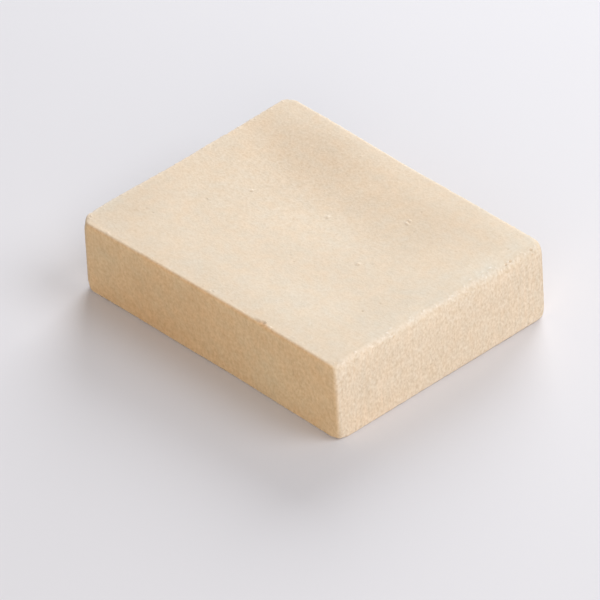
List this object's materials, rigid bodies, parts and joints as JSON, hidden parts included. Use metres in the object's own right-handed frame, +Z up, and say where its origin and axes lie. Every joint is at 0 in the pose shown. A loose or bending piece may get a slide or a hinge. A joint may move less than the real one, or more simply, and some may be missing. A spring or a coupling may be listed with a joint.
{
  "type": "freeze-dried tofu",
  "caption": "Rectangular slab of freeze-dried tofu with soft worn edges, a shallow askew dish in its broad top face and a flat rim underneath to rest on.",
  "frame": {"origin": "bottom centre of the slab's box, on the surface that it rests on", "axes": "+X along the length, +Y across the width towards the steep side of the dish, +Z up through the thickness"},
  "size_m": [0.0716, 0.0588, 0.0174],
  "materials": {
    "dried_tofu": "matte"
  },
  "bodies": {
    "root": {"tofu_block": "dried_tofu"}
  },
  "joints": []
}
